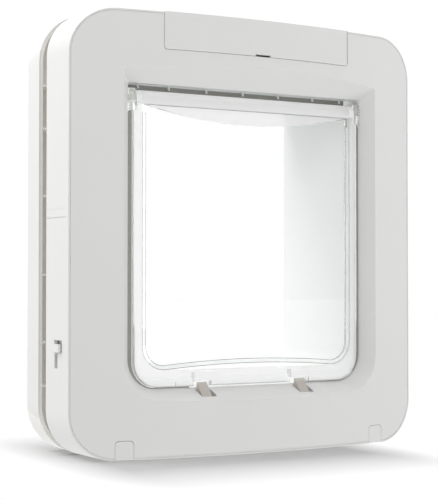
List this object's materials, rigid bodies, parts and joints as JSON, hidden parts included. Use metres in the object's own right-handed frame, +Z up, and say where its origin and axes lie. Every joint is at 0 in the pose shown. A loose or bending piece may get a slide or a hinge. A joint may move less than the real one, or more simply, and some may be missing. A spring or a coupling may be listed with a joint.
{
  "type": "cat flap",
  "caption": "Microchip cat flap for a door panel: white housing with a clear swinging flap, tunnel and clamping rear frame.",
  "frame": {"origin": "middle of the footprint, on the flat underside of the housing", "axes": "+X to the right along the face, +Y from the face through the door panel, +Z up"},
  "size_m": [0.2669, 0.1168, 0.2853],
  "materials": {
    "white_shell": "satin moulded plastic, white",
    "white_tunnel": "satin moulded plastic, white",
    "white_inner": "plain moulded plastic, off-white",
    "clear_flap": "clear transparent moulded plastic",
    "latch": "acetal, pale grey-beige",
    "coil": "enamelled wire bound in tape",
    "motor": "plated can",
    "board": "green laminate",
    "chips": "black moulded components",
    "button": "grey moulded button",
    "pile": "dark grey brush pile",
    "pin_steel": "bright",
    "screw_steel": "zinc plated",
    "contact_metal": "nickel plated spring strip",
    "cell_jacket": "plain dark sleeve, no label"
  },
  "bodies": {
    "base": {"front_housing": "white_shell", "back_plate": "white_shell", "tunnel": "white_tunnel", "rear_frame": "white_shell", "reader_coil": "coil", "battery_tray": "white_inner", "latch_motor": "motor", "circuit_board": "board", "board_parts": "chips", "tact_switch": "chips", "pile_seal_top": "pile", "pile_seal_left": "pile", "pile_seal_right": "pile", "screw_cover_left": "white_shell", "screw_cover_right": "white_shell", "hinge_block_left": "white_inner", "hinge_block_right": "white_inner", "hinge_pin_left": "pin_steel", "hinge_pin_right": "pin_steel", "contact_bridge": "contact_metal", "contact_front": "contact_metal", "contact_rear": "contact_metal", "battery_cell_1": "cell_jacket", "panel_screw_1": "screw_steel", "battery_cell_2": "cell_jacket", "panel_screw_2": "screw_steel", "battery_cell_3": "cell_jacket", "panel_screw_3": "screw_steel", "battery_cell_4": "cell_jacket", "panel_screw_4": "screw_steel", "plate_screw_1": "screw_steel", "plate_screw_2": "screw_steel"},
    "flap": {"flap": "clear_flap"},
    "latch_carriage": {"latch_bar": "latch", "latch_left": "latch", "latch_right": "latch"},
    "cam": {"latch_cam": "white_inner"},
    "lock": {"lock_slider": "white_shell"},
    "cover": {"battery_cover": "white_shell"},
    "button": {"learn_button": "button"}
  },
  "joints": [
    {"name": "flap_swing", "type": "hinge", "parent": "base", "child": "flap", "pos_m": [0, -0.03455, 0.2315], "axis": [1, 0, 0], "range_deg": [-80, 80]},
    {"name": "latch_rise", "type": "slide", "parent": "base", "child": "latch_carriage", "axis": [0, 0, 1], "range_m": [0, 0.003]},
    {"name": "cam_turn", "type": "hinge", "parent": "base", "child": "cam", "pos_m": [0, -0.04505, 0.019], "axis": [1, 0, 0], "range_deg": [0, 90]},
    {"name": "lock_slide", "type": "slide", "parent": "base", "child": "lock", "axis": [0, 0, -1], "range_m": [0, 0.01]},
    {"name": "cover_slide", "type": "slide", "parent": "base", "child": "cover", "axis": [0, -1, 0], "range_m": [0, 0.04]},
    {"name": "button_press", "type": "slide", "parent": "base", "child": "button", "axis": [0, 1, 0], "range_m": [0, 0.001], "stiffness_N_per_m": 1500}
  ],
  "couplings": [
    {"joint": "cam_turn", "follows": "latch_rise", "rad_per_m": 523.6}
  ]
}
